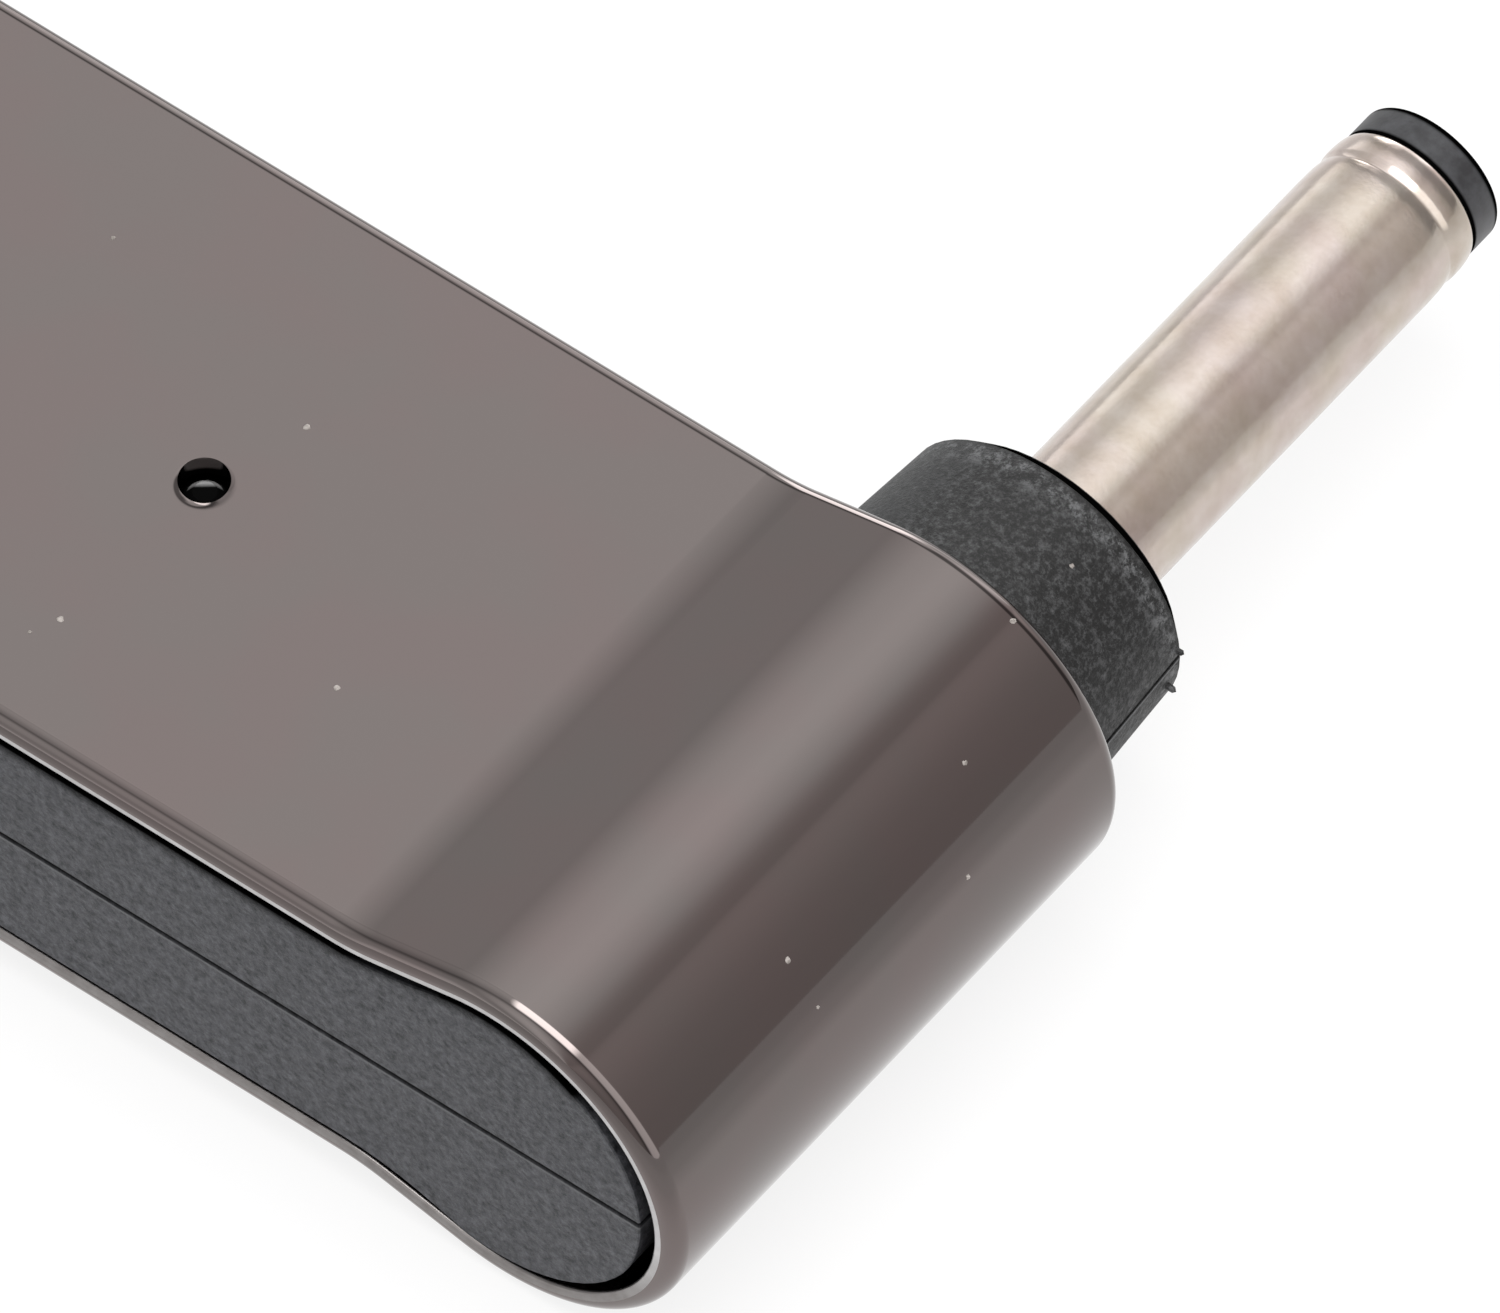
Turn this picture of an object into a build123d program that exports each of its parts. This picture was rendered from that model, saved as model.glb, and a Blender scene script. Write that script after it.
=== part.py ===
"""USB-C to DC plug adapter: a closed metal sleeve over two black plastic core halves.

Millimetres. The origin is on the plug's axis, on the front face of the collar that the plug
stands in. +X runs along the body towards its round end, so the USB-C mouth is at the -X end.
+Y is the way the plug points, and +Z is up through the thickness of the body.
"""

from build123d import *
from math import atan2, degrees, sqrt
import os

# Body and metal sleeve
body_length = 38.5
body_width = 14.2
slab_thickness = 7.6
bulb_diameter = 9.0
blend_radius = 6.0
end_corner_radius = 2.0
shell_wall = 0.6
shell_edge_fillet = 0.4
shell_lip = 0.1
cutout_clearance = 0.08
cutout_chamfer = 0.25
light_hole_diameter = 1.06
light_hole_chamfer = 0.12
light_hole_from_plug = 12.7

# Core halves inside the sleeve
core_gap = 0.14
core_play = 0.22
core_settle = 0.04
core_recess = 0.05
core_edge_chamfer = 0.1
core_wall = 0.8
core_side_wall = 1.75
seam_chamfer = 0.07
fit_gap = 0.05
peg_diameter = 0.9
peg_height = 1.2
peg_from_socket_end = 3.2
peg_from_bulb_end = 3.6

# Collar and DC plug
collar_height = 3.6
collar_margin = 0.3
collar_draft = 0.25
collar_chamfer = 0.35
plug_length = 12.2
barrel_diameter = 3.5
barrel_wall = 0.35
root_step = 0.2
root_overhang = 0.5
flange_step = 0.7
flange_thickness = 0.8
flange_setback = 1.8
tip_ring_length = 0.85
tip_ring_step = 0.08
tip_ring_chamfer = 0.12
groove_from_end = 1.4
groove_length = 0.75
groove_depth = 0.06
bead_step = 0.02
bead_end_step = 0.07
end_rounding = 0.06
centre_bore_diameter = 1.35
centre_bore_depth = 9.0
entry_step = 0.025
entry_chamfer = 0.15
contact_setback = 1.2
contact_wall = 0.27
insulator_overhang = 0.3
stop_clearance = 0.15
stop_thickness = 0.6
tail_diameter = 1.0
tail_length = 2.2
tab_length = 1.5

# USB-C receptacle
socket_width = 8.94
socket_height = 3.16
socket_wall = 0.3
socket_length = 7.35
mouth_depth = 6.2
tongue_width = 6.69
tongue_thickness = 0.7
tongue_length = 4.45
tongue_chamfer = 0.17
shoulder_width = 7.2
shoulder_thickness = 1.3
shoulder_length = 1.0
leg_length = 2.0
leg_height = 1.0
mid_plate_thickness = 0.15
mid_plate_nose = 0.8
mid_plate_stem_width = 5.0
contact_pitch = 0.5
contact_places = [-5.5, -2.5, -1.5, -0.5, 0.5, 1.5, 2.5, 5.5]
contact_width = 0.25
contact_thickness = 0.1
contact_stand = 0.02
contact_nose = 0.45
contact_tail = 1.4
contact_bend = 0.3

# Circuit board and the parts on it
board_thickness = 0.8
board_setback = 0.5
board_from_plug = 4.8
board_corner = 0.6
rail_grip = 0.6
led_size = (1.6, 0.8, 0.6)
led_chamfer = 0.1
light_pipe_diameter = 0.9
light_pipe_flange_diameter = 1.8
light_pipe_flange = 0.5
light_pipe_sink = 0.4
light_pipe_gap = 0.15
light_pipe_chamfer = 0.2
chip_length = 4.9
chip_width = 3.9
chip_height = 1.2
chip_stand = 0.1
chip_draft = 6
index_radius = 0.3
index_depth = 0.1
index_inset = 0.9
chip_lead_pitch = 1.0
chip_leads_per_side = 5
chip_lead_width = 0.4
chip_lead_thickness = 0.2
chip_lead_reach = 1.05
chip_lead_shoulder = 0.35
chip_lead_slope = 0.1
small_capacitor = (2.0, 1.25, 1.0)
large_capacitor = (3.2, 1.6, 1.3)
resistor_size = (1.6, 0.8, 0.45)
end_cap_length = 0.3
end_cap_step = 0.03
part_gap = 0.4
resistor_offset = 3.2
lamp_resistor_offset = 2.4
large_capacitor_offset = 3.1

# Stamped leads from the board to the plug
lead_thickness = 0.3
lead_landing = 2.2
lead_foot_width = 2.4
positive_lead_width = 1.0
negative_lead_width = 3.4
tail_clearance = 0.45
lead_corner = 0.5

# Places that follow from the sizes above
socket_end_x = bulb_diameter / 2 - body_length
mid_y = -(collar_height + body_width / 2)
core_inset = shell_wall + core_gap
core_end_x = socket_end_x + core_inset
socket_rear_x = core_end_x + socket_length
light_hole_x = -light_hole_from_plug
cavity_half_width = body_width / 2 - core_recess - core_side_wall
board_front_x = socket_rear_x + board_setback
board_rear_x = -board_from_plug
board_length = board_rear_x - board_front_x
board_width = 2 * (cavity_half_width + rail_grip)
board_top = board_thickness / 2
cavity_ceiling = slab_thickness / 2 - core_inset - core_wall
collar_base_radius = bulb_diameter / 2 - shell_wall - collar_margin
wall_inner_y = mid_y + cavity_half_width
metal_end_y = plug_length - tip_ring_length
barrel_radius = barrel_diameter / 2
barrel_bore_radius = barrel_radius - barrel_wall
root_radius = barrel_radius + root_step
root_rear_y = wall_inner_y - root_overhang
flange_radius = root_radius + flange_step
flange_rear_y = -flange_setback - flange_thickness
contact_radius = centre_bore_diameter / 2 + contact_wall
contact_front_y = plug_length - contact_setback
insulator_rear_y = root_rear_y - insulator_overhang
stop_rear_y = insulator_rear_y - stop_thickness
tail_rear_y = stop_rear_y - tail_length
tab_rear_y = root_rear_y - tab_length
tab_top = -board_top - lead_thickness
contact_offsets = [place * contact_pitch for place in contact_places]
chip_x = socket_rear_x + contact_tail + part_gap + chip_length / 2
lead_tip = chip_width / 2 + chip_lead_reach
small_capacitor_x = socket_rear_x + leg_length + part_gap + small_capacitor[0] / 2
small_capacitor_y = mid_y + lead_tip + part_gap + small_capacitor[1] / 2
resistor_x = chip_x + chip_length / 2 + part_gap + resistor_size[1] / 2
large_capacitor_x = board_rear_x - lead_landing - part_gap - large_capacitor[1] / 2

shell_side = Plane.XZ.offset(collar_height)
core_side = Plane.XZ.offset(collar_height + core_recess)
middle = Plane.XZ.offset(-mid_y)
core_depth = body_width - 2 * core_recess


def end_plane(x):
    """Plane square to the body at x, facing out of the USB-C end, with its width along Y."""
    return Plane(origin=(x, mid_y, 0), x_dir=(0, -1, 0), z_dir=(-1, 0, 0))


def body_outline(inset, play=0.0, start_x=None):
    """Side outline of the body, set in all round: slab, hollow rise and round bulb.

    play draws the bulb back towards the USB-C end. start_x cuts the outline off square there.
    """
    half = slab_thickness / 2 - inset
    bulb = bulb_diameter / 2 - inset
    blend = blend_radius + inset
    blend_x = -play - sqrt((bulb + blend) ** 2 - (half + blend) ** 2)
    join = degrees(atan2(half + blend, blend_x + play))
    with BuildSketch() as outline:
        with BuildLine():
            if start_x is None:
                corner = end_corner_radius - inset
                end_x = socket_end_x + inset
                Line((end_x, 0), (end_x, half - corner))
                CenterArc((end_x + corner, half - corner), corner, 90, 90)
                Line((end_x + corner, half), (blend_x, half))
            else:
                Polyline((start_x, 0), (start_x, half), (blend_x, half))
            CenterArc((blend_x, half + blend), blend, 270, join - 90)
            CenterArc((-play, 0), bulb, 0, join)
            mirror(about=Plane.XZ)
        make_face()
    return outline.sketch


def side_edges():
    """Edges round the two flat sides of the solid being built."""
    sides = faces().sort_by(Axis.Y)
    return sides[0].outer_wire().edges() + sides[-1].outer_wire().edges()


def save(piece, name):
    """Label one finished piece and write it."""
    piece.part.label = name
    export_step(piece.part, f"parts/{name}.step")


os.makedirs("parts", exist_ok=True)

# Metal sleeve, closed round both ends and open at its two sides
with BuildPart() as metal_shell:
    with BuildSketch(shell_side):
        add(body_outline(0))
    extrude(amount=body_width)
    fillet(side_edges(), radius=shell_edge_fillet)
    with BuildSketch(shell_side):
        add(body_outline(shell_wall))
    extrude(amount=body_width, mode=Mode.SUBTRACT)
    rims = faces().filter_by(Axis.Y).sort_by(Axis.Y)
    chamfer(rims[0].inner_wires()[0].edges() + rims[-1].inner_wires()[0].edges(), length=shell_lip)
    with BuildSketch(end_plane(socket_end_x)):
        SlotOverall(socket_width + 2 * cutout_clearance, socket_height + 2 * cutout_clearance)
    extrude(amount=-shell_wall, mode=Mode.SUBTRACT)
    mouth = faces().filter_by(Axis.X).sort_by(Axis.X)[0].inner_wires()[0]
    chamfer(mouth.edges(), length=cutout_chamfer)
    with Locations((light_hole_x, mid_y, slab_thickness / 2)):
        CounterSinkHole(
            radius=light_hole_diameter / 2,
            counter_sink_radius=light_hole_diameter / 2 + light_hole_chamfer,
            depth=shell_wall,
            counter_sink_angle=90,
        )
save(metal_shell, "metal_shell")


def collar_form():
    """Round collar on the far side, drawn in towards its front and bevelled there."""
    base_y = -(collar_height + core_recess)
    root_y = base_y - core_side_wall / 2
    with BuildPart() as collar:
        with BuildSketch(Plane.XY) as profile:
            with BuildLine():
                Polyline(
                    (0, root_y),
                    (collar_base_radius, root_y),
                    (collar_base_radius, base_y),
                    (collar_base_radius - collar_draft, 0),
                    (0, 0),
                    close=True,
                )
            make_face()
            rim = profile.vertices().group_by(Axis.Y)[-1].sort_by(Axis.X)[-1]
            chamfer(rim, length=collar_chamfer)
        revolve(axis=Axis.Y)
    return collar.part


def plug_seat():
    """Stepped bore through the collar that traps the plug's flange."""
    bore = root_radius + fit_gap
    groove = flange_radius + fit_gap
    front = fit_gap - flange_setback
    rear = flange_rear_y - fit_gap
    with BuildPart() as seat:
        with BuildSketch(Plane.XY):
            with BuildLine():
                Polyline(
                    (0, 0),
                    (bore, 0),
                    (bore, front),
                    (groove, front),
                    (groove, rear),
                    (bore, rear),
                    (bore, wall_inner_y),
                    (0, wall_inner_y),
                    close=True,
                )
            make_face()
        revolve(axis=Axis.Y)
    return seat.part


def peg_places():
    """Three locating pegs: one each side of the socket, and one at the bulb's near side."""
    side = body_width / 2 - core_recess - core_side_wall / 2
    socket_x = core_end_x + peg_from_socket_end
    bulb_x = bulb_diameter / 2 - core_inset - peg_from_bulb_end
    return [(socket_x, mid_y + side), (socket_x, mid_y - side), (bulb_x, mid_y - side)]


def core_half(shift):
    """The half of the black core above the seam, with its share of the hollow.

    shift moves the outside up inside the sleeve, as the core rests on the sleeve's floor.
    """
    slot_length = board_rear_x + fit_gap - socket_rear_x
    slot_width = board_width + 2 * fit_gap
    slot_height = board_thickness + 2 * fit_gap
    with BuildPart() as half:
        with BuildSketch(core_side):
            with Locations((0, shift)):
                add(body_outline(core_inset, core_play))
        extrude(amount=core_depth)
        chamfer(side_edges(), length=core_edge_chamfer)
        add(collar_form())
        split(bisect_by=Plane.XY)
        seam = faces().filter_by(Plane.XY).sort_by(lambda face: abs(face.center().Z))[0]
        chamfer(seam.outer_wire().edges(), length=seam_chamfer)
        with BuildSketch(middle):
            add(body_outline(core_inset + core_wall, core_play, start_x=socket_rear_x))
        extrude(amount=cavity_half_width, both=True, mode=Mode.SUBTRACT)
        with BuildSketch(end_plane(core_end_x)):
            SlotOverall(socket_width + 2 * fit_gap, socket_height + 2 * fit_gap)
        extrude(amount=-socket_length, mode=Mode.SUBTRACT)
        with Locations((socket_rear_x + slot_length / 2, mid_y, 0)):
            Box(slot_length, slot_width, slot_height, mode=Mode.SUBTRACT)
        add(plug_seat(), mode=Mode.SUBTRACT)
    return half.part


with BuildPart() as core_upper:
    add(core_half(-core_settle))
    with Locations(*[(x, y, 0) for x, y in peg_places()]):
        Cylinder(
            peg_diameter / 2 + fit_gap,
            peg_height + fit_gap,
            align=(Align.CENTER, Align.CENTER, Align.MIN),
            mode=Mode.SUBTRACT,
        )
    with Locations((light_hole_x, mid_y, slab_thickness / 2 - core_inset)):
        Hole(radius=light_pipe_diameter / 2 + fit_gap, depth=core_wall)
save(core_upper, "core_upper")

with BuildPart() as core_lower:
    mirror(core_half(core_settle), about=Plane.XY)
    with Locations(*[(x, y, -seam_chamfer) for x, y in peg_places()]):
        Cylinder(
            peg_diameter / 2,
            peg_height + seam_chamfer,
            align=(Align.CENTER, Align.CENTER, Align.MIN),
        )
save(core_lower, "core_lower")

# Plated barrel: a turned tube with a trapped flange, a grip groove and a bead at its tip
with BuildPart() as plug_barrel:
    groove_start = metal_end_y - groove_from_end
    groove_end = groove_start + groove_length
    with BuildSketch(Plane.XY):
        with BuildLine():
            Polyline(
                (barrel_bore_radius, metal_end_y - end_rounding),
                (barrel_bore_radius, root_rear_y),
                (root_radius, root_rear_y),
                (root_radius, flange_rear_y),
                (flange_radius, flange_rear_y),
                (flange_radius, -flange_setback),
                (root_radius, -flange_setback),
                (root_radius, 0),
                (barrel_radius, 0),
                (barrel_radius, groove_start),
                (barrel_radius - groove_depth, (groove_start + groove_end) / 2),
                (barrel_radius - bead_step, groove_end),
                (barrel_radius - bead_end_step, metal_end_y - end_rounding),
                (barrel_radius - bead_end_step - end_rounding, metal_end_y),
                (barrel_bore_radius + end_rounding, metal_end_y),
                close=True,
            )
        make_face()
    revolve(axis=Axis.Y)
    with BuildSketch(Plane.XZ.offset(-root_rear_y)):
        Circle(root_radius)
        Circle(barrel_bore_radius, mode=Mode.SUBTRACT)
        with Locations((0, tab_top)):
            Rectangle(
                2 * root_radius,
                2 * root_radius,
                align=(Align.CENTER, Align.MAX),
                mode=Mode.INTERSECT,
            )
    extrude(amount=tab_length)
save(plug_barrel, "plug_barrel")

# Black insulator that lines the barrel and shows as the ring at the tip
with BuildPart() as plug_insulator:
    inner_radius = contact_radius + fit_gap
    entry_radius = centre_bore_diameter / 2 + entry_step
    tip_radius = barrel_radius - tip_ring_step
    with BuildSketch(Plane.XY):
        with BuildLine():
            Polyline(
                (inner_radius, insulator_rear_y),
                (barrel_bore_radius - fit_gap, insulator_rear_y),
                (barrel_bore_radius - fit_gap, metal_end_y),
                (tip_radius, metal_end_y),
                (tip_radius, plug_length - tip_ring_chamfer),
                (tip_radius - tip_ring_chamfer, plug_length),
                (entry_radius + entry_chamfer, plug_length),
                (entry_radius, plug_length - entry_chamfer),
                (entry_radius, contact_front_y),
                (inner_radius, contact_front_y),
                close=True,
            )
        make_face()
    revolve(axis=Axis.Y)
save(plug_insulator, "plug_insulator")

# Centre contact: a blind tube for the jack's pin, a stop collar and a tail with a flat for its lead
with BuildPart() as plug_centre_contact:
    bore_floor = contact_front_y - centre_bore_depth
    stop_radius = barrel_bore_radius - stop_clearance
    with BuildSketch(Plane.XY):
        with BuildLine():
            Polyline(
                (0, bore_floor),
                (centre_bore_diameter / 2, bore_floor),
                (centre_bore_diameter / 2, contact_front_y),
                (contact_radius, contact_front_y),
                (contact_radius, insulator_rear_y),
                (stop_radius, insulator_rear_y),
                (stop_radius, stop_rear_y),
                (tail_diameter / 2, stop_rear_y),
                (tail_diameter / 2, tail_rear_y),
                (0, tail_rear_y),
                close=True,
            )
        make_face()
    revolve(axis=Axis.Y)
    with Locations((0, stop_rear_y, board_top)):
        Box(
            tail_diameter,
            tail_length,
            tail_diameter,
            align=(Align.CENTER, Align.MAX, Align.MIN),
            mode=Mode.SUBTRACT,
        )
save(plug_centre_contact, "plug_centre_contact")

# Drawn steel shell of the USB-C receptacle, with two legs that solder into the board's notches
with BuildPart() as receptacle_shell:
    with BuildSketch(end_plane(core_end_x)):
        SlotOverall(socket_width, socket_height)
        SlotOverall(socket_width - 2 * socket_wall, socket_height - 2 * socket_wall, mode=Mode.SUBTRACT)
    extrude(amount=-socket_length)
    with BuildSketch(end_plane(socket_rear_x)):
        SlotOverall(socket_width, socket_height)
        SlotOverall(socket_width - 2 * socket_wall, socket_height - 2 * socket_wall, mode=Mode.SUBTRACT)
        Rectangle(socket_width, leg_height, mode=Mode.INTERSECT)
    extrude(amount=-leg_length)
save(receptacle_shell, "receptacle_shell")


def contact_outline(side):
    """Side outline of one contact strip, from the tongue to its tail on the board."""
    nose_x = core_end_x + mouth_depth - tongue_length + contact_nose
    outer = tongue_thickness / 2 + contact_stand
    inner = outer - contact_thickness
    bend_x = socket_rear_x + contact_bend
    tail_x = socket_rear_x + contact_tail
    points = [
        (nose_x, inner),
        (socket_rear_x, inner),
        (bend_x, board_top),
        (tail_x, board_top),
        (tail_x, board_top + contact_thickness),
        (bend_x, board_top + contact_thickness),
        (socket_rear_x, outer),
        (nose_x, outer),
    ]
    with BuildSketch() as outline:
        with BuildLine():
            Polyline(*[(x, side * z) for x, z in points], close=True)
        make_face()
    return outline.sketch


def mid_plate_form():
    """Thin plate in the tongue: as wide as the tongue in front, and a narrow stem behind."""
    tip_x = core_end_x + mouth_depth - tongue_length
    front_x = tip_x + mid_plate_nose
    wide_x = core_end_x + mouth_depth - shoulder_length
    with BuildPart() as plate:
        with BuildSketch(Plane.XY.offset(-mid_plate_thickness / 2)):
            with Locations(((front_x + wide_x) / 2, mid_y)):
                Rectangle(wide_x - front_x, tongue_width)
            with Locations(((front_x + socket_rear_x) / 2, mid_y)):
                Rectangle(socket_rear_x - front_x, mid_plate_stem_width)
        extrude(amount=mid_plate_thickness)
    return plate.part


# Moulded base and tongue of the receptacle
with BuildPart() as receptacle_housing:
    base_x = core_end_x + mouth_depth
    with BuildSketch(end_plane(socket_rear_x)):
        SlotOverall(
            socket_width - 2 * socket_wall - 2 * fit_gap,
            socket_height - 2 * socket_wall - 2 * fit_gap,
        )
    extrude(amount=socket_rear_x - base_x)
    with Locations((base_x - shoulder_length / 2, mid_y, 0)):
        Box(shoulder_length, shoulder_width, shoulder_thickness)
    with Locations((base_x - tongue_length / 2, mid_y, 0)):
        Box(tongue_length, tongue_width, tongue_thickness)
    tip_edges = edges().filter_by(Axis.Y).group_by(Axis.X)[0]
    chamfer(tip_edges, length=tongue_chamfer)
    add(mid_plate_form(), mode=Mode.SUBTRACT)
    for offset_y in contact_offsets:
        for side in (-1, 1):
            with BuildSketch(Plane.XZ.offset(-(mid_y + offset_y))):
                add(contact_outline(side))
            extrude(amount=contact_width / 2, both=True, mode=Mode.SUBTRACT)
save(receptacle_housing, "receptacle_housing")

with BuildPart() as receptacle_mid_plate:
    add(mid_plate_form())
save(receptacle_mid_plate, "receptacle_mid_plate")

for row, side in (("upper", 1), ("lower", -1)):
    for number, offset_y in enumerate(contact_offsets, start=1):
        with BuildPart() as contact:
            with BuildSketch(Plane.XZ.offset(-(mid_y + offset_y))):
                add(contact_outline(side))
            extrude(amount=contact_width / 2, both=True)
        save(contact, f"contact_{row}_{number}")

# Circuit board, notched in front for the receptacle's legs
with BuildPart() as circuit_board:
    with BuildSketch(Plane.XY.offset(-board_thickness / 2)) as outline:
        with Locations(((board_front_x + board_rear_x) / 2, mid_y)):
            Rectangle(board_length, board_width)
        chamfer(outline.vertices(), length=board_corner)
        notch_length = leg_length - board_setback + fit_gap
        for side in (-1, 1):
            leg_y = mid_y + side * (socket_width - socket_wall) / 2
            with Locations((board_front_x + notch_length / 2, leg_y)):
                Rectangle(notch_length, socket_wall + 4 * fit_gap, mode=Mode.SUBTRACT)
    extrude(amount=board_thickness)
save(circuit_board, "circuit_board")

# Trigger chip: a moulded package with drafted sides and an index dimple
with BuildPart() as trigger_chip:
    chip_floor = board_top + chip_stand
    with BuildSketch(Plane.XY.offset(chip_floor)):
        with Locations((chip_x, mid_y)):
            Rectangle(chip_length, chip_width)
    extrude(amount=chip_height, taper=chip_draft)
    index_x = chip_x - chip_length / 2 + index_inset
    index_y = mid_y - chip_width / 2 + index_inset
    with Locations((index_x, index_y, chip_floor + chip_height)):
        Hole(radius=index_radius, depth=index_depth)
save(trigger_chip, "trigger_chip")

with BuildPart() as chip_leads:
    lead_root = chip_width / 2
    knee = lead_root + chip_lead_shoulder
    heel = knee + chip_lead_slope
    lead_foot = board_top + chip_lead_thickness
    lead_top = board_top + chip_stand + chip_height / 2
    first_lead = -(chip_leads_per_side - 1) / 2
    for number in range(chip_leads_per_side):
        lead_x = chip_x + (first_lead + number) * chip_lead_pitch
        for side in (-1, 1):
            with BuildSketch(Plane.YZ.offset(lead_x)):
                with BuildLine():
                    points = [
                        (lead_root, lead_top - chip_lead_thickness),
                        (knee, lead_top - chip_lead_thickness),
                        (heel, board_top),
                        (lead_tip, board_top),
                        (lead_tip, lead_foot),
                        (heel + chip_lead_thickness, lead_foot),
                        (knee + chip_lead_thickness, lead_top),
                        (lead_root, lead_top),
                    ]
                    Polyline(*[(mid_y + side * y, z) for y, z in points], close=True)
                make_face()
            extrude(amount=chip_lead_width / 2, both=True)
save(chip_leads, "chip_leads")


def end_capped_block(size, x, y, along_y=False):
    """Surface-mount block with a metal cap on each end, standing on the board."""
    length, width, height = size
    turn = 90 if along_y else 0
    on_board = (Align.CENTER, Align.CENTER, Align.MIN)
    with Locations(Location((x, y, board_top + end_cap_step), (0, 0, turn))):
        Box(
            length - 2 * end_cap_length,
            width - 2 * end_cap_step,
            height - 2 * end_cap_step,
            align=on_board,
        )
    with Locations(Location((x, y, board_top), (0, 0, turn))):
        with Locations((-(length - end_cap_length) / 2, 0, 0), ((length - end_cap_length) / 2, 0, 0)):
            Box(end_cap_length, width, height, align=on_board)


small_parts = {
    "capacitor_1": (small_capacitor, small_capacitor_x, small_capacitor_y, False),
    "capacitor_2": (large_capacitor, large_capacitor_x, mid_y + large_capacitor_offset, True),
    "capacitor_3": (large_capacitor, large_capacitor_x, mid_y - large_capacitor_offset, True),
    "resistor_1": (resistor_size, resistor_x, mid_y + resistor_offset, True),
    "resistor_2": (resistor_size, resistor_x, mid_y - resistor_offset, True),
    "resistor_3": (resistor_size, light_hole_x, mid_y + lamp_resistor_offset, False),
    "resistor_4": (resistor_size, light_hole_x, mid_y - lamp_resistor_offset, False),
}
for name, (size, part_x, part_y, along_y) in small_parts.items():
    with BuildPart() as block:
        end_capped_block(size, part_x, part_y, along_y)
    save(block, name)

with BuildPart() as indicator_led:
    with Locations((light_hole_x, mid_y, board_top)):
        Box(*led_size, align=(Align.CENTER, Align.CENTER, Align.MIN))
    chamfer(edges().group_by(Axis.Z)[-1], length=led_chamfer)
save(indicator_led, "indicator_led")

# Clear pipe from the lamp to the sleeve's hole, held under the roof by its flange
with BuildPart() as light_pipe:
    pipe_floor = board_top + led_size[2] + light_pipe_gap
    pipe_top = slab_thickness / 2 - light_pipe_sink
    pipe_radius = light_pipe_diameter / 2
    rim_radius = light_pipe_flange_diameter / 2
    with BuildSketch(Plane.XZ.offset(-mid_y)):
        with BuildLine():
            Polyline(
                (light_hole_x, pipe_top),
                (light_hole_x, pipe_floor),
                (light_hole_x + pipe_radius, pipe_floor),
                (light_hole_x + pipe_radius, cavity_ceiling - light_pipe_flange),
                (light_hole_x + rim_radius, cavity_ceiling - light_pipe_flange),
                (light_hole_x + rim_radius, cavity_ceiling),
                (light_hole_x + pipe_radius, cavity_ceiling),
                (light_hole_x + pipe_radius, pipe_top - light_pipe_chamfer),
                (light_hole_x + pipe_radius - light_pipe_chamfer, pipe_top),
                close=True,
            )
        make_face()
    revolve(axis=Axis((light_hole_x, mid_y, 0), (0, 0, 1)))
save(light_pipe, "light_pipe")


def lead_form(width, side):
    """Flat L-shaped lead: back from the plug's rear, and along over or under the board."""
    front_y = stop_rear_y - fit_gap
    foot_y = mid_y - side * lead_foot_width / 2
    start_z = board_top if side > 0 else -board_top - lead_thickness
    with BuildPart() as lead:
        with BuildSketch(Plane.XY.offset(start_z)) as outline:
            with Locations((0, front_y)):
                Rectangle(width, front_y - foot_y + lead_foot_width / 2, align=(Align.CENTER, Align.MAX))
            with Locations((width / 2, foot_y)):
                foot_length = width / 2 - board_rear_x + lead_landing
                Rectangle(foot_length, lead_foot_width, align=(Align.MAX, Align.CENTER))
            corners = outline.vertices().group_by(Axis.Y)[0]
            chamfer(corners, length=lead_corner)
        extrude(amount=lead_thickness)
    return lead.part


with BuildPart() as positive_lead:
    add(lead_form(positive_lead_width, 1))
save(positive_lead, "positive_lead")

# The negative lead is forked round the centre contact's tail, and its prongs lie on the tab
with BuildPart() as negative_lead:
    add(lead_form(negative_lead_width, -1))
    with Locations((0, tail_rear_y - tail_clearance, -board_top)):
        Box(
            tail_diameter + 2 * tail_clearance,
            stop_rear_y - tail_rear_y + tail_clearance,
            2 * lead_thickness,
            align=(Align.CENTER, Align.MIN, Align.CENTER),
            mode=Mode.SUBTRACT,
        )
save(negative_lead, "negative_lead")
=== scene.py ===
"""Looks of the USB-C to DC plug adapter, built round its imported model. Metres, in the part's own frame.

The origin is on the plug's axis at the collar's front face. +X runs to the round end, +Y is the
way the plug points, and +Z is up through the thickness of the body.
"""

import random
from math import cos, pi, radians, sin, tan

import bmesh
import bpy
from mathutils import Matrix, Vector


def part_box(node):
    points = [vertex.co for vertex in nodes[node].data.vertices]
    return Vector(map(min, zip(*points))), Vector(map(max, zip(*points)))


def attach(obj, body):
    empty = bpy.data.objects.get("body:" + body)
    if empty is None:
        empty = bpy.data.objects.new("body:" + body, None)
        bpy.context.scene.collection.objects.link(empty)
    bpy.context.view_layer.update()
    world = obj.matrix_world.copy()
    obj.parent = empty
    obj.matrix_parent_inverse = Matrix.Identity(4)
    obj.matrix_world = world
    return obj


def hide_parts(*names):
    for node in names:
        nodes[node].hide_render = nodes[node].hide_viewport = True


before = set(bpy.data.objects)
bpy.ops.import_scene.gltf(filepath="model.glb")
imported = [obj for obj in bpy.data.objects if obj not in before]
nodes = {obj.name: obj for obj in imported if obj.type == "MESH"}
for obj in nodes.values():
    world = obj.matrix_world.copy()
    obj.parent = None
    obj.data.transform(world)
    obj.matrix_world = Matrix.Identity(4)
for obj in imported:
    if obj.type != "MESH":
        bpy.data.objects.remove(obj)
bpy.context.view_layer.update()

MM = 0.001

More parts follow.
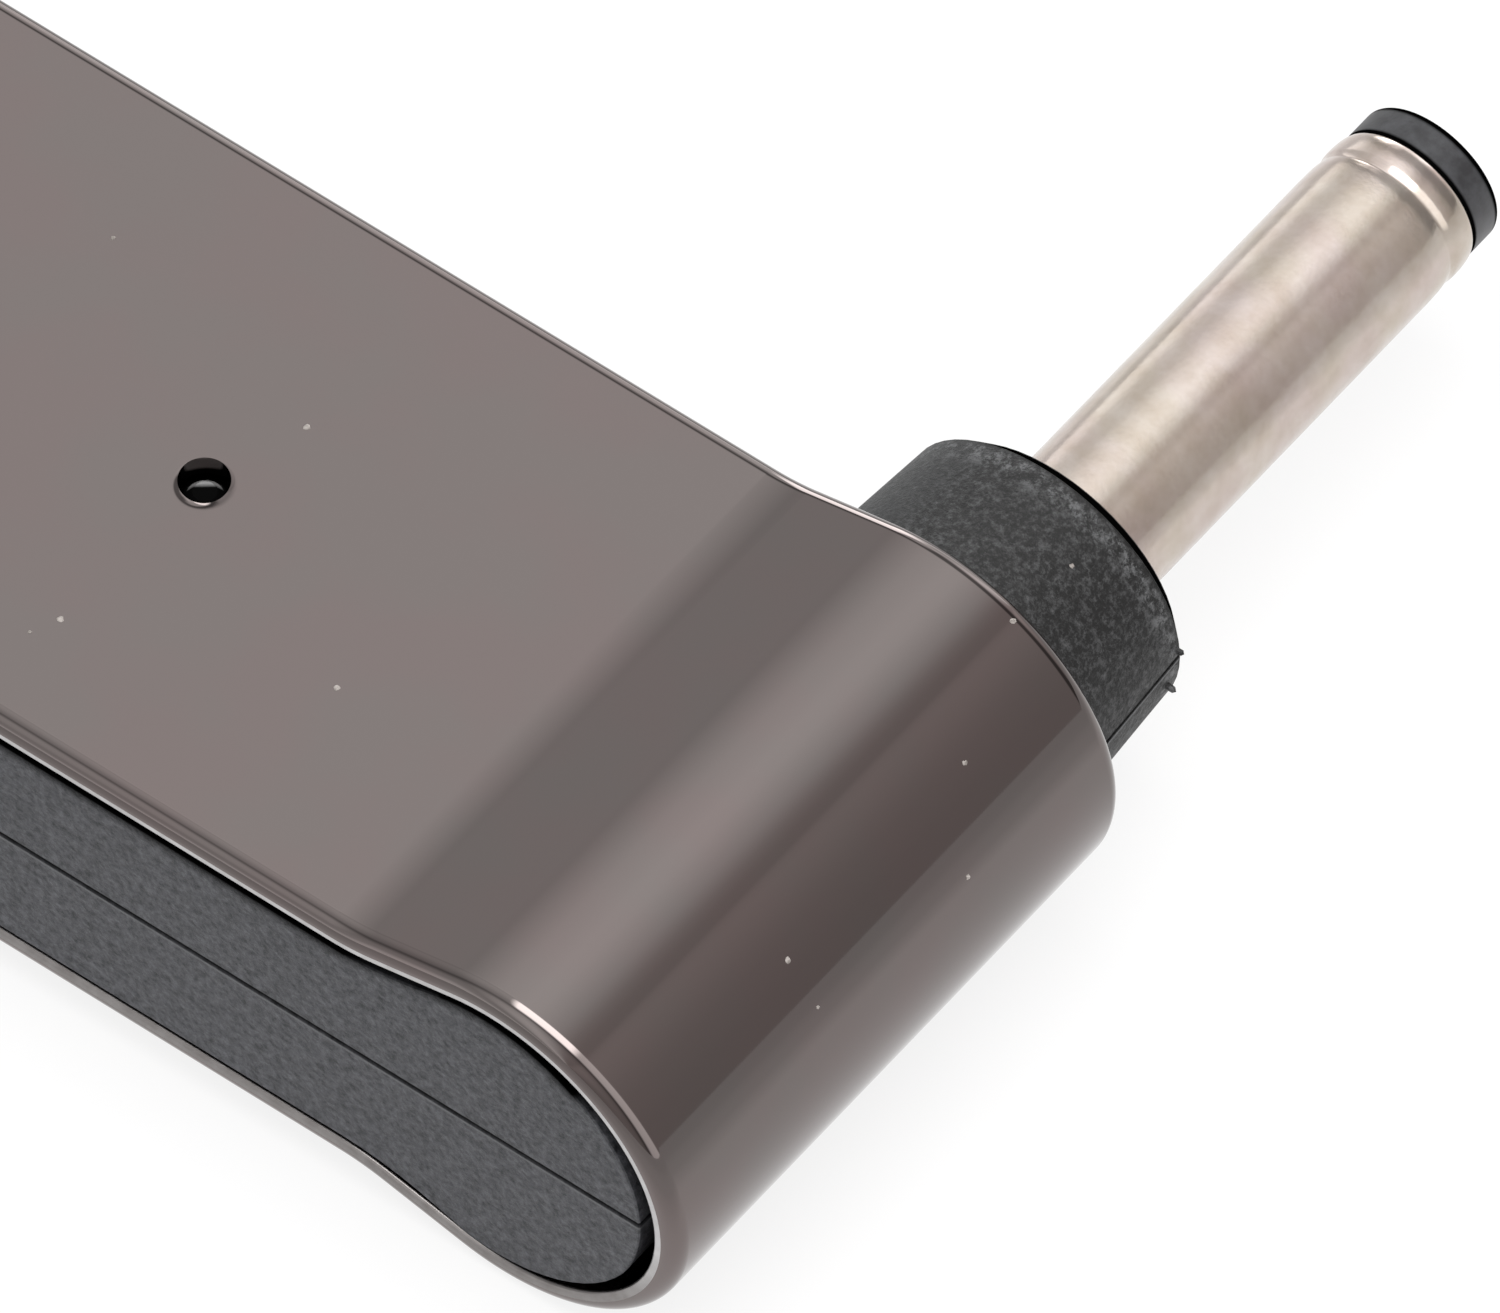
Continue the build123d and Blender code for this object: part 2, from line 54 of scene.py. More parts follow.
# Sizes that the sleeve shares with the solid it stands for
shell_low, shell_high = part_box("metal_shell")
bulb_radius = shell_high.z
end_x = shell_low.x
near_y = shell_low.y
far_y = shell_high.y
mid_y = (near_y + far_y) / 2
slab_half = 3.8 * MM
end_corner = 2.0 * MM
shell_wall = 0.6 * MM
shell_fillet = 0.4 * MM
light_hole_radius = 0.53 * MM
light_hole_x = -12.7 * MM
mouth_half_width = 4.55 * MM
mouth_half_height = 1.66 * MM

# The sleeve's finer forms: its hollow rise, inner lip, dished light hole and bevelled mouth
rise_radius = 4.4 * MM
rise_slope = radians(13.2)
shell_lip = 0.1 * MM
light_hole_dish_radius = 0.65 * MM
light_hole_dish_slope = radians(20)
light_hole_dish_shift = 0.14 * MM
mouth_bevel = 0.12 * MM
corner_steps = 24
blend_steps = 28
bulb_steps = 72
fillet_steps = 12
lip_steps = 4
hole_steps = 96
mouth_end_steps = 16

# Sizes of the plug, whose axis is the Y axis
barrel_low, barrel_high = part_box("plug_barrel")
liner_low, liner_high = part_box("plug_insulator")
tab_rear = barrel_low.y
metal_end = barrel_high.y
liner_rear = liner_low.y
plug_end = liner_high.y
barrel_radius = 1.75 * MM
bore_radius = 1.4 * MM
bore_bevel = 0.04 * MM
root_radius = 1.95 * MM
flange_radius = 2.65 * MM
flange_front = -1.8 * MM
flange_rear = -2.6 * MM
root_rear = -5.9 * MM
tab_top = -0.7 * MM
liner_outer = 1.35 * MM
liner_inner = 0.995 * MM
entry_radius = 0.7 * MM
entry_bevel = 0.15 * MM
contact_front = 11.0 * MM
tip_ring_radius = 1.67 * MM
tip_ring_round = 0.14 * MM
revolve_steps = 128
curve_steps = 5

# Outline of the barrel's tip in millimetres: (radius, distance from the metal's end)
BARREL_TIP = [
    (1.750, -1.75),
    (1.749, -1.40),
    (1.738, -1.05),
    (1.716, -0.87),
    (1.703, -0.79),
    (1.714, -0.70),
    (1.736, -0.61),
    (1.742, -0.50),
    (1.736, -0.33),
    (1.716, -0.17),
    (1.690, -0.07),
    (1.655, -0.015),
    (1.610, 0.0),
]

# Core halves: the bevel of their near edge in the solid, and what is left of it here
core_edge_bevel = 0.1 * MM
core_edge_left = 0.03 * MM

# How far the lower half lies nearer the sleeve: its near part below a height, apart from the rise
core_sink = 0.06 * MM
core_sink_below = -1.5 * MM
core_sink_length = 1.0 * MM
rise_from = -6.0 * MM
rise_to = -1.0 * MM

# Distances in metres under which points count as one, or as lying in a plane or on an axis
seal_distance = 1e-8
merge_distance = 1e-7
match_distance = 1e-6
on_axis = 1e-9

# Angles in degrees past which an edge stays sharp
sleeve_crease = 32
turned_crease = 40
core_crease = 30
fleck_crease = 50

# Small flecks by their pixels in the photograph: (u, v, radius in mm)
DUST = [
    (307, 427, 0.09),
    (113, 238, 0.06),
    (60, 619, 0.09),
    (30, 632, 0.05),
    (337, 688, 0.08),
    (965, 763, 0.07),
    (968, 877, 0.07),
    (788, 960, 0.08),
    (818, 1007, 0.05),
    (1013, 621, 0.08),
    (1072, 566, 0.06),
]
FLASH = [(1175, 650, 0.10), (1167, 686, 0.10)]
dust_height = 0.02
flash_height = 0.22
fleck_sides = 9

# A fleck's uneven reach, and its base and shoulder, as shares of its radius and height
fleck_reach = (0.7, 1.15)
fleck_base_depth = 0.5
fleck_shoulder_reach = 0.75
fleck_shoulder_height = 0.7

# Places where finishes change, in millimetres: the start and end of each soft step
collar_foot = (-3.50, -3.45)
collar_smooth_side = (-0.9, -2.6)
worn_band_rear = (-1.1, -0.7)
worn_band_front = (-0.40, -0.46)
front_edge_y = (-0.38, -0.32)
front_edge_radius = (2.95, 3.05)
# Painted shadow on the collar's foot behind the sleeve's rim: along the plug, and out from it
rim_shadow_rear = (-4.2, -4.0)
rim_shadow_front = (-3.40, -3.48)
rim_shadow_radius = (4.4, 4.1)
# Painted highlight along the lower half's edge, just below the seam
seam_highlight_low = (-0.16, -0.12)
seam_highlight_high = (-0.07, -0.08)
seam_from_middle = (0.10, 0.03)
# Painted shadow on the core's side under the sleeve's lip: depth into the outline, and height
lip_shadow_depth = (1.12, 0.80)
lip_shadow_height = (-2.0, 0.5)
# Heights over which painted shade darkens the sleeve's cut lip towards its underside
lip_shade_height = (-2.6, -0.6)
# Heights over which painted light makes the plug's tip lighter on its lower side
tip_lower_side_light = (1.0, -1.2)
tip_front_edge = (12.00, 12.06)
tip_joint = (11.47, 11.41)
# Painted crescent of light on the light pipe: its start across the face, and its outer edge
crescent_inner = (0.10, 0.20)
crescent_outer = (0.39, 0.36)

# How far the core's side outline is drawn back, in millimetres, for the painted shadow under the lip, and
# how dark its seam is
core_drawn_back = 0.22
seam_darkness = 0.88

# Direction in X and Y of the painted crescent of light on the light pipe's face
crescent_x = -0.61
crescent_y = 0.79

# Plain finishes by slot: (darker colour, lighter colour, roughness, metallic)
PLAIN_FINISHES = {
    "contact_gold": ((0.72, 0.48, 0.18), (0.86, 0.62, 0.28), 0.25, 1.0),
    "board_laminate": ((0.012, 0.055, 0.025), (0.02, 0.085, 0.04), 0.45, 0.0),
    "socket_steel": ((0.55, 0.54, 0.52), (0.68, 0.67, 0.65), 0.28, 1.0),
    "socket_plastic": ((0.012, 0.012, 0.013), (0.025, 0.025, 0.027), 0.5, 0.0),
    "chip_resin": ((0.010, 0.010, 0.011), (0.020, 0.020, 0.021), 0.6, 0.0),
    "tinned_metal": ((0.60, 0.60, 0.61), (0.75, 0.75, 0.76), 0.35, 1.0),
    "led_body": ((0.70, 0.68, 0.60), (0.85, 0.83, 0.76), 0.4, 0.0),
    "capacitor_ceramic": ((0.22, 0.13, 0.08), (0.32, 0.20, 0.12), 0.5, 0.0),
}

# Places of the colour mix node's sockets, which share their names with others
mix_factor_in = 0
mix_colours_in = slice(6, 8)
mix_colour_out = 2

# Brightness of the studio round the plug's axis: (degrees from straight up towards +X, brightness)
STUDIO = [
    (-180, 1.0),
    (-92, 1.0),
    (-76, 0.82),
    (-66, 0.58),
    (-48, 0.545),
    (-38, 0.70),
    (-26, 0.88),
    (-10, 0.99),
    (-3, 0.97),
    (4, 0.86),
    (12, 0.70),
    (20, 0.48),
    (25, 0.405),
    (30, 0.385),
    (31.5, 0.46),
    (36, 0.475),
    (44, 0.44),
    (52, 0.395),
    (60, 0.36),
    (76, 0.325),
    (92, 0.315),
    (180, 0.40),
]

# What each part of the studio keeps of that, along the plug: (direction's Y, share)
STUDIO_ALONG_PLUG = [
    (-1.0, 0.90),
    (-0.8, 0.95),
    (-0.6, 0.80),
    (-0.45, 0.35),
    (-0.25, 0.25),
    (0.0, 0.45),
    (0.26, 0.55),
    (0.35, 1.05),
    (0.43, 1.00),
    (0.47, 1.00),
    (0.53, 0.92),
    (0.61, 0.26),
    (0.78, 0.26),
    (0.90, 1.50),
    (1.0, 1.50),
]

# Long soft lamp overhead, across the plug: its brightness round the plug, and its width along it
LAMP = [
    (-180, 0.0),
    (-80, 0.0),
    (-60, 0.18),
    (-34, 0.32),
    (-15, 0.32),
    (-11, 3.5),
    (22, 3.5),
    (27, 1.0),
    (90, 0.8),
    (95, 0.0),
]
LAMP_ALONG_PLUG = [(-1.0, 0.0), (-0.42, 0.0), (-0.28, 1.0), (0.22, 1.0), (0.32, 0.0)]

# Low soft lamp behind, to the left: round the plug, and along it
SIDE_LAMP = [(-180, 0.0), (-94, 0.0), (-86, 2.8), (-60, 2.8), (-54, 0.6), (-40, 0.6), (-30, 0.0)]
SIDE_LAMP_ALONG_PLUG = [(-1.0, 0.0), (0.66, 0.0), (0.71, 1.0), (0.84, 1.0), (0.90, 0.0)]
studio_strength = 1.6

# Tint of the studio's walls round the plug: warmer on the side of the round end
TINT = [
    (-180, (1.0, 1.0, 1.0, 1)),
    (12, (1.0, 1.0, 1.0, 1)),
    (24, (1.0, 0.93, 0.92, 1)),
    (88, (1.0, 0.93, 0.92, 1)),
    (96, (1.0, 1.0, 1.0, 1)),
]

# Floor in metres, and its white sheet in millimetres, greyer away from its middle as a painted pool of
# light: (distance from its middle, paleness)
floor_size = 3.0
sheet_centre = (-5.5, -2.7)
sheet_reach = 100
SHEET_LIGHT_POOL = [(0, 0.98), (22, 0.98), (25, 0.88), (30, 0.77), (60, 0.66), (100, 0.64)]
# Share of the floor's painted pool of light that glows to camera and reflections
white_share = 0.85

# Camera, fitted to edges measured in the photograph
photo_width = 1500
photo_height = 1313
focal_pixels = 45907
pixels_per_mm = 51.194
camera_azimuth = radians(39.638)
camera_elevation = radians(52.572)
camera_roll = radians(-2.051)
origin_pixel = (719.44, 907.91)
sensor_width = 36.0


def new_object(name, data):
    """Object for a finished mesh or camera, linked into the scene."""
    made = bpy.data.objects.new(name, data)
    bpy.context.scene.collection.objects.link(made)
    return made


def closed_object(name, work):
    """Object for closed surfaces under construction, with all their faces turned outwards."""
    bmesh.ops.recalc_face_normals(work, faces=work.faces)
    mesh = bpy.data.meshes.new(name)
    work.to_mesh(mesh)
    work.free()
    return new_object(name, mesh)


def apply_modifiers(piece):
    """Bake a piece's modifiers into its mesh."""
    graph = bpy.context.evaluated_depsgraph_get()
    mesh = bpy.data.meshes.new_from_object(piece.evaluated_get(graph))
    piece.modifiers.clear()
    piece.data = mesh


def smooth_by_angle(piece, crease):
    """Smooth shading with sharp edges past an angle, and big flat faces kept flat."""
    mesh = piece.data
    mesh.polygons.foreach_set("use_smooth", [True] * len(mesh.polygons))
    mesh.set_sharp_from_angle(angle=radians(crease))
    weighted = piece.modifiers.new("weighted_normals", "WEIGHTED_NORMAL")
    weighted.mode = "FACE_AREA"
    weighted.weight = 100
    weighted.keep_sharp = True


def add_to_part(piece, slot, *replaced):
    """Ride a finished piece on the part, in the place of the solids that it stands for."""
    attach(piece, "root")
    if replaced:
        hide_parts(*replaced)


def arc(centre, radius, start, end, count):
    """Points along an arc in a plane, angles in radians."""
    return [
        (centre[0] + radius * cos(t), centre[1] + radius * sin(t))
        for t in [start + (end - start) * i / count for i in range(count + 1)]
    ]


def body_outline(inset):
    """Closed side outline of the body in X and Z: slab, hollow foot, straight rise and bulb."""
    join_x = -bulb_radius * sin(rise_slope)
    join_z = bulb_radius * cos(rise_slope)
    foot_z = slab_half + rise_radius * (1 - cos(rise_slope))
    foot_x = join_x - (join_z - foot_z) / tan(rise_slope)
    blend_x = foot_x - rise_radius * sin(rise_slope)
    upper = []
    for i in range(corner_steps + 1):
        turn = pi / 2 * i / corner_steps
        x = end_x + end_corner - end_corner * cos(turn)
        z = slab_half - end_corner + end_corner * sin(turn)
        upper.append((x, z, -cos(turn), sin(turn)))
    for i in range(blend_steps + 1):
        turn = rise_slope * i / blend_steps
        x = blend_x + rise_radius * sin(turn)
        z = slab_half + rise_radius - rise_radius * cos(turn)
        upper.append((x, z, -sin(turn), cos(turn)))
    for i in range(bulb_steps + 1):
        turn = -rise_slope + (pi / 2 + rise_slope) * i / bulb_steps
        upper.append((bulb_radius * sin(turn), bulb_radius * cos(turn), sin(turn), cos(turn)))
    lower = [(x, -z, nx, -nz) for x, z, nx, nz in reversed(upper[:-1])]
    return [(x - nx * inset, z - nz * inset) for x, z, nx, nz in upper + lower]


def sleeve_section():
    """Section across the sleeve's wall: (inset, y) points right round, both edges rounded."""
    far = arc((shell_fillet, far_y - shell_fillet), shell_fillet, pi, pi / 2, fillet_steps)
    far += arc((shell_wall - shell_lip, far_y - shell_lip), shell_lip, pi / 2, 0, lip_steps)
    near = [(inset, 2 * mid_y - y) for inset, y in reversed(far)]
    return far + near


def lofted_ring(name, section, second_finish):
    """Closed mesh swept round the body's outline, from (inset, y) points of its section.

    second_finish holds the numbers of the section's sides that take the second material.
    """
    rings = [[(x, y, z) for x, z in body_outline(inset)] for inset, y in section]
    count = len(rings[0])
    verts = [point for ring in rings for point in ring]
    faces = []
    finishes = []
    for i in range(len(rings)):
        a = i * count
        b = (i + 1) % len(rings) * count
        for j in range(count):
            k = (j + 1) % count
            faces.append((a + j, b + j, b + k, a + k))
            finishes.append(int(i in second_finish))
    mesh = bpy.data.meshes.new(name)
    mesh.from_pydata(verts, [], faces)
    mesh.polygons.foreach_set("material_index", finishes)
    return new_object(name, mesh)


def fix_normals(piece):
    """Merge doubled points and turn all faces outwards."""
    work = bmesh.new()
    work.from_mesh(piece.data)
    bmesh.ops.remove_doubles(work, verts=work.verts, dist=seal_distance)
    bmesh.ops.recalc_face_normals(work, faces=work.faces)
    work.to_mesh(piece.data)
    work.free()


def revolved(name, profile, centre, axis, steps=revolve_steps):
    """Closed solid of revolution from (radius, height) points, about an axis through centre."""
    axis = Vector(axis).normalized()
    side = axis.orthogonal().normalized()
    other = axis.cross(side)
    centre = Vector(centre)
    work = bmesh.new()
    rings = []
    for radius, height in profile:
        if radius < on_axis:
            rings.append([work.verts.new(centre + axis * height)])
            continue
        ring = []
        for i in range(steps):
            turn = 2 * pi * i / steps
            spoke = side * cos(turn) + other * sin(turn)
            ring.append(work.verts.new(centre + axis * height + spoke * radius))
        rings.append(ring)
    following = rings[1:]
    if profile[0][0] > on_axis:
        following.append(rings[0])
    for low, high in zip(rings, following):
        for i in range(steps):
            k = (i + 1) % steps
            corners = [low[i % len(low)], low[k % len(low)], high[k % len(high)], high[i % len(high)]]
            unique = list(dict.fromkeys(corners))
            if len(unique) > 2:
                work.faces.new(unique)
    return closed_object(name, work)


def cut(piece, cutter):
    """Subtract one mesh from another and delete the cutter."""
    step = piece.modifiers.new("cut", "BOOLEAN")
    step.operation = "DIFFERENCE"
    step.solver = "EXACT"
    step.object = cutter
    apply_modifiers(piece)
    bpy.data.objects.remove(cutter)


def block(name, low, high):
    """Plain box between two corners, used as a cutter."""
    work = bmesh.new()
    middle = [(a + b) / 2 for a, b in zip(low, high)]
    size = [b - a for a, b in zip(low, high)]
    place = Matrix.Translation(middle) @ Matrix.Diagonal((*size, 1))
    bmesh.ops.create_cube(work, size=1, matrix=place)
    return closed_object(name, work)


def join(piece, other):
    """Add one mesh to another and delete the second object."""
    work = bmesh.new()
    work.from_mesh(piece.data)
    work.from_mesh(other.data)
    work.to_mesh(piece.data)
    work.free()
    bpy.data.objects.remove(other)


def stadium(half_width, half_height):
    """Slot outline in Y and Z about the socket's axis."""
    straight = half_width - half_height
    right = arc((straight, 0), half_height, -pi / 2, pi / 2, mouth_end_steps)
    left = arc((-straight, 0), half_height, pi / 2, 3 * pi / 2, mouth_end_steps)
    return right + left


def mouth_cutter():
    """Cutter for the sleeve's USB-C mouth, wider at its outer end."""
    stations = [
        (-mouth_bevel, 2 * mouth_bevel),
        (0, mouth_bevel),
        (mouth_bevel, 0),
        (2 * shell_wall, 0),
    ]
    work = bmesh.new()
    rings = []
    for depth, grow in stations:
        ring = stadium(mouth_half_width + grow, mouth_half_height + grow)
        rings.append([work.verts.new((end_x + depth, mid_y + y, z)) for y, z in ring])
    for low, high in zip(rings, rings[1:]):
        for i in range(len(low)):
            k = (i + 1) % len(low)
            work.faces.new((low[i], low[k], high[k], high[i]))
    work.faces.new(rings[0])
    work.faces.new(rings[-1])
    return closed_object("mouth_cutter", work)


def light_hole_cutter():
    """Cutter for the hole over the light pipe."""
    above = shell_wall
    below = -2 * shell_wall
    profile = [(0, below), (light_hole_radius, below), (light_hole_radius, above), (0, above)]
    centre = (light_hole_x, mid_y, slab_half)
    return revolved("light_hole_cutter", profile, centre, (0, 0, 1), hole_steps)


def light_hole_dish_cutter():
    """Cutter for the shallow dished edge on the near side of that hole."""
    above = 0.1 * MM
    spread = above / tan(light_hole_dish_slope)
    depth = light_hole_dish_radius * tan(light_hole_dish_slope)
    profile = [(0, -depth), (light_hole_dish_radius + spread, above), (0, above)]
    x = light_hole_x + light_hole_dish_shift * sin(camera_azimuth)
    y = mid_y - light_hole_dish_shift * cos(camera_azimuth)
    return revolved("dish_cutter", profile, (x, y, slab_half), (0, 0, 1), hole_steps)


def make_sleeve():
    """Glossy sleeve: one smooth swept wall with its light hole and USB-C mouth."""
    section = sleeve_section()
    far_lip = range(fillet_steps, fillet_steps + 1 + lip_steps)
    near_lip = [len(section) - 2 - i for i in far_lip]
    sleeve = lofted_ring("sleeve", section, [*far_lip, *near_lip])
    sleeve.data.materials.append(MATERIALS["sleeve_metal"])
    # The lip's finish: bare metal with a painted highlight, and painted shade towards the underside
    sleeve.data.materials.append(cut_edge_with_highlight())
    fix_normals(sleeve)
    cut(sleeve, light_hole_cutter())
    cut(sleeve, light_hole_dish_cutter())
    cut(sleeve, mouth_cutter())
    fix_normals(sleeve)
    smooth_by_angle(sleeve, sleeve_crease)
    add_to_part(sleeve, "sleeve_metal", "metal_shell")


def smooth_curve(points):
    """Points along a smooth curve through the given ones, for a turned profile."""
    curve = []
    for i in range(len(points) - 1):
        before = Vector(points[max(i - 1, 0)])
        start = Vector(points[i])
        end = Vector(points[i + 1])
        after = Vector(points[min(i + 2, len(points) - 1)])
        for j in range(curve_steps):
            t = j / curve_steps
            bend = (end - before) * t + (2 * before - 5 * start + 4 * end - after) * t * t
            bend += (3 * start - before - 3 * end + after) * t ** 3
            curve.append(tuple(start + bend / 2))
    return curve + [tuple(points[-1])]


def make_barrel():
    """Turned barrel with its grip groove, swelling bead and rounded tip, and its solder tab."""
    profile = [
        (bore_radius, root_rear),
        (root_radius, root_rear),
        (root_radius, flange_rear),
        (flange_radius, flange_rear),
        (flange_radius, flange_front),
        (root_radius, flange_front),
        (root_radius, 0),
        (barrel_radius, 0),
    ]
    profile += smooth_curve([(radius * MM, metal_end + y * MM) for radius, y in BARREL_TIP])
    profile += [(bore_radius + bore_bevel, metal_end), (bore_radius, metal_end - bore_bevel)]
    barrel = revolved("barrel", profile, (0, 0, 0), (0, 1, 0))
    tab_profile = [
        (bore_radius, tab_rear),
        (root_radius, tab_rear),
        (root_radius, root_rear),
        (bore_radius, root_rear),
    ]
    tab = revolved("tab", tab_profile, (0, 0, 0), (0, 1, 0))
    above = 2 * root_radius
    cut(tab, block("above_tab", (-above, 2 * tab_rear, tab_top), (above, 0, above)))
    join(barrel, tab)
    smooth_by_angle(barrel, turned_crease)
    barrel.data.materials.append(MATERIALS["plug_nickel"])
    add_to_part(barrel, "plug_nickel", "plug_barrel")


def make_insulator():
    """Black liner of the barrel, with the rounded ring that shows at the tip."""
    edge_centre = (tip_ring_radius - tip_ring_round, plug_end - tip_ring_round)
    profile = [
        (liner_inner, liner_rear),
        (liner_outer, liner_rear),
        (liner_outer, metal_end),
        (tip_ring_radius, metal_end),
    ]
    profile += arc(edge_centre, tip_ring_round, 0, pi / 2, fillet_steps)
    profile += [
        (entry_radius + entry_bevel, plug_end),
        (entry_radius, plug_end - entry_bevel),
        (entry_radius, contact_front),
        (liner_inner, contact_front),
    ]
    ring = revolved("tip_ring", profile, (0, 0, 0), (0, 1, 0))
    smooth_by_angle(ring, turned_crease)
    ring.data.materials.append(MATERIALS["insulator_plastic"])
    add_to_part(ring, "insulator_plastic", "plug_insulator")


def sharpen_near_edge(work, face_y):
    """Narrow the bevel round the near face, down to a crisp moulded edge."""
    wall_y = face_y + core_edge_bevel
    rim = [vert for vert in work.verts if abs(vert.co.y - face_y) < match_distance]
    wall = [vert for vert in work.verts if abs(vert.co.y - wall_y) < match_distance]
    kept = core_edge_left / core_edge_bevel
    for vert in rim:
        near = min(wall, key=lambda other: (other.co - vert.co).length, default=vert)
        if (near.co - vert.co).length < 2 * core_edge_bevel:
            vert.co.x = near.co.x + (vert.co.x - near.co.x) * kept
            vert.co.z = near.co.z + (vert.co.z - near.co.z) * kept
    for vert in wall:
        vert.co.y = face_y + core_edge_left


def lay_on_sleeve(work, face_y):
    """Lower the underside's near part a little, apart from the rise."""
    for vert in work.verts:
        on_rise = rise_from < vert.co.x < rise_to
        if vert.co.z < core_sink_below and vert.co.y < face_y + core_sink_length and not on_rise:
            vert.co.z -= core_sink


def make_core_half(node, name):
    """Copy of a core half with a crisp moulded edge; the lower half lies down on the sleeve."""
    solid = nodes[node]
    work = bmesh.new()
    work.from_mesh(solid.data)
    work.transform(solid.matrix_world)
    bmesh.ops.remove_doubles(work, verts=work.verts, dist=merge_distance)
    face_y = min(vert.co.y for vert in work.verts)
    sharpen_near_edge(work, face_y)
    lay_on_sleeve(work, face_y)
    points = [tuple(vert.co) for vert in work.verts]
    faces = [[vert.index for vert in face.verts] for face in work.faces]
    work.free()
    mesh = bpy.data.meshes.new(name)
    mesh.from_pydata(points, [], faces)
    half = new_object(name, mesh)
    smooth_by_angle(half, core_crease)
    half.data.materials.append(MATERIALS["core_plastic"])
    add_to_part(half, "core_plastic", node)


def grey(value):
    """Neutral colour of a brightness."""
    return (value, value, value, 1.0)


class TreeBuilder:
    """Small helper that adds nodes to one tree and joins them."""

    def __init__(self, tree):
        self.tree = tree

    def feed(self, socket, value):
        """Join a node's output to a socket, or set a plain value on it."""
        if isinstance(value, bpy.types.NodeSocket):
            self.tree.links.new(value, socket)
        else:
            socket.default_value = value

    def node(self, kind, **values):
        """New node, with its properties and inputs set by name."""
        made = self.tree.nodes.new(kind)
        for key, value in values.items():
            if hasattr(made, key):
                setattr(made, key, value)
            else:
                self.feed(made.inputs[key.replace("_", " ")], value)
        return made

    def split(self, vector):
        """X, Y and Z of a vector."""
        return tuple(self.node("ShaderNodeSeparateXYZ", Vector=vector).outputs)

    def math(self, operation, *values):
        """One sum, each of its values a node's output or a plain number."""
        made = self.node("ShaderNodeMath", operation=operation)
        for socket, value in zip(made.inputs, values):
            self.feed(socket, value)
        return made.outputs[0]

    def vector_math(self, operation, *values, output="Vector"):
        """One sum of vectors or colours, each a node's output or a plain value."""
        made = self.node("ShaderNodeVectorMath", operation=operation)
        for socket, value in zip(made.inputs, values):
            self.feed(socket, value)
        return made.outputs[output]

    def product(self, first, *others):
        """All the given shares multiplied."""
        for other in others:
            first = self.math("MULTIPLY", first, other)
        return first

    def largest(self, first, *others):
        """The largest of the given shares."""
        for other in others:
            first = self.math("MAXIMUM", first, other)
        return first

    def length(self, first, second):
        """Distance with the two given parts, at right angles to each other."""
        square = self.math("MULTIPLY", first, first)
        return self.math("SQRT", self.math("MULTIPLY_ADD", second, second, square))

    def share(self, number, start, end):
        """Share that runs from 0 to 1 while a number goes from start to end."""
        made = self.node("ShaderNodeMapRange", Value=number, From_Min=start, From_Max=end)
        return made.outputs["Result"]

    def ramp(self, factor, stops):
        """Colour that follows a factor through a list of (factor, colour)."""
        made = self.node("ShaderNodeValToRGB", Fac=factor)
        elements = made.color_ramp.elements
        elements.remove(elements[-1])
        for i, (position, colour) in enumerate(stops):
            element = elements[0] if i == 0 else elements.new(position)
            element.position = position
            element.color = colour
        return made.outputs["Color"]

    def blend(self, factor, low, high, start=0.0, end=1.0):
        """Colour or grey that runs from low to high as the factor goes from start to end."""
        return self.ramp(factor, [(start, low), (end, high)])

    def table(self, number, low, high, stops):
        """Colour over a number's range, from a list of (number, brightness or colour)."""
        colours = []
        for place, value in stops:
            colour = value if isinstance(value, tuple) else grey(value)
            colours.append(((place - low) / (high - low), colour))
        return self.ramp(self.share(number, low, high), colours)

    def mix(self, share, low, high, blend_type="MIX"):
        """One colour that turns into another, each a node's output or a plain value."""
        made = self.node("ShaderNodeMix", data_type="RGBA", blend_type=blend_type)
        self.feed(made.inputs[mix_factor_in], share)
        for socket, colour in zip(made.inputs[mix_colours_in], (low, high)):
            self.feed(socket, colour)
        return made.outputs[mix_colour_out]


class Shader(TreeBuilder):
    """Node tree of one new material, with places in the part's own frame."""

    def __init__(self, name):
        self.material = bpy.data.materials.new(name)
        self.material.use_nodes = True
        super().__init__(self.material.node_tree)
        self.surface = self.tree.nodes["Principled BSDF"]

    def place(self):
        """Coordinates in the part's own frame, in millimetres."""
        coordinates = self.node("ShaderNodeTexCoord").outputs["Object"]
        scaled = self.node("ShaderNodeVectorMath", operation="SCALE", Vector=coordinates, Scale=1 / MM)
        return scaled.outputs["Vector"]

    def noise(self, scale, detail=3.0, roughness=0.5):
        """Noise of so many features per millimetre."""
        made = self.node(
            "ShaderNodeTexNoise", Vector=self.place(), Scale=scale, Detail=detail, Roughness=roughness
        )
        return made.outputs["Fac"]

    def depth_in_body(self, shift):
        """How far a place is inside the body's side outline, moved back by a shift, in millimetres."""
        x, _, z = self.split(self.place())
        x = self.math("ADD", x, shift)
        z = self.math("ABSOLUTE", z)
        radius = bulb_radius / MM
        slab = self.math("SUBTRACT", slab_half / MM, z)
        line_height = self.math("MULTIPLY_ADD", x, tan(rise_slope), radius / cos(rise_slope))
        rise = self.math("SUBTRACT", line_height, z)
        bulb_x = self.math("MAXIMUM", x, -radius * sin(rise_slope))
        bulb = self.math("SUBTRACT", radius, self.length(z, bulb_x))
        return self.math("MAXIMUM", slab, self.math("MINIMUM", rise, bulb))

    def bump(self, height, strength, depth_mm):
        """Bump from a height, as deep as a distance in millimetres."""
        made = self.node("ShaderNodeBump", Height=height, Strength=strength, Distance=depth_mm * MM)
        self.feed(self.surface.inputs["Normal"], made.outputs["Normal"])

    def set(self, **values):
        """Set the surface's inputs by name, each to a node's output or a plain value."""
        for key, value in values.items():
            self.feed(self.surface.inputs[key.replace("_", " ")], value)


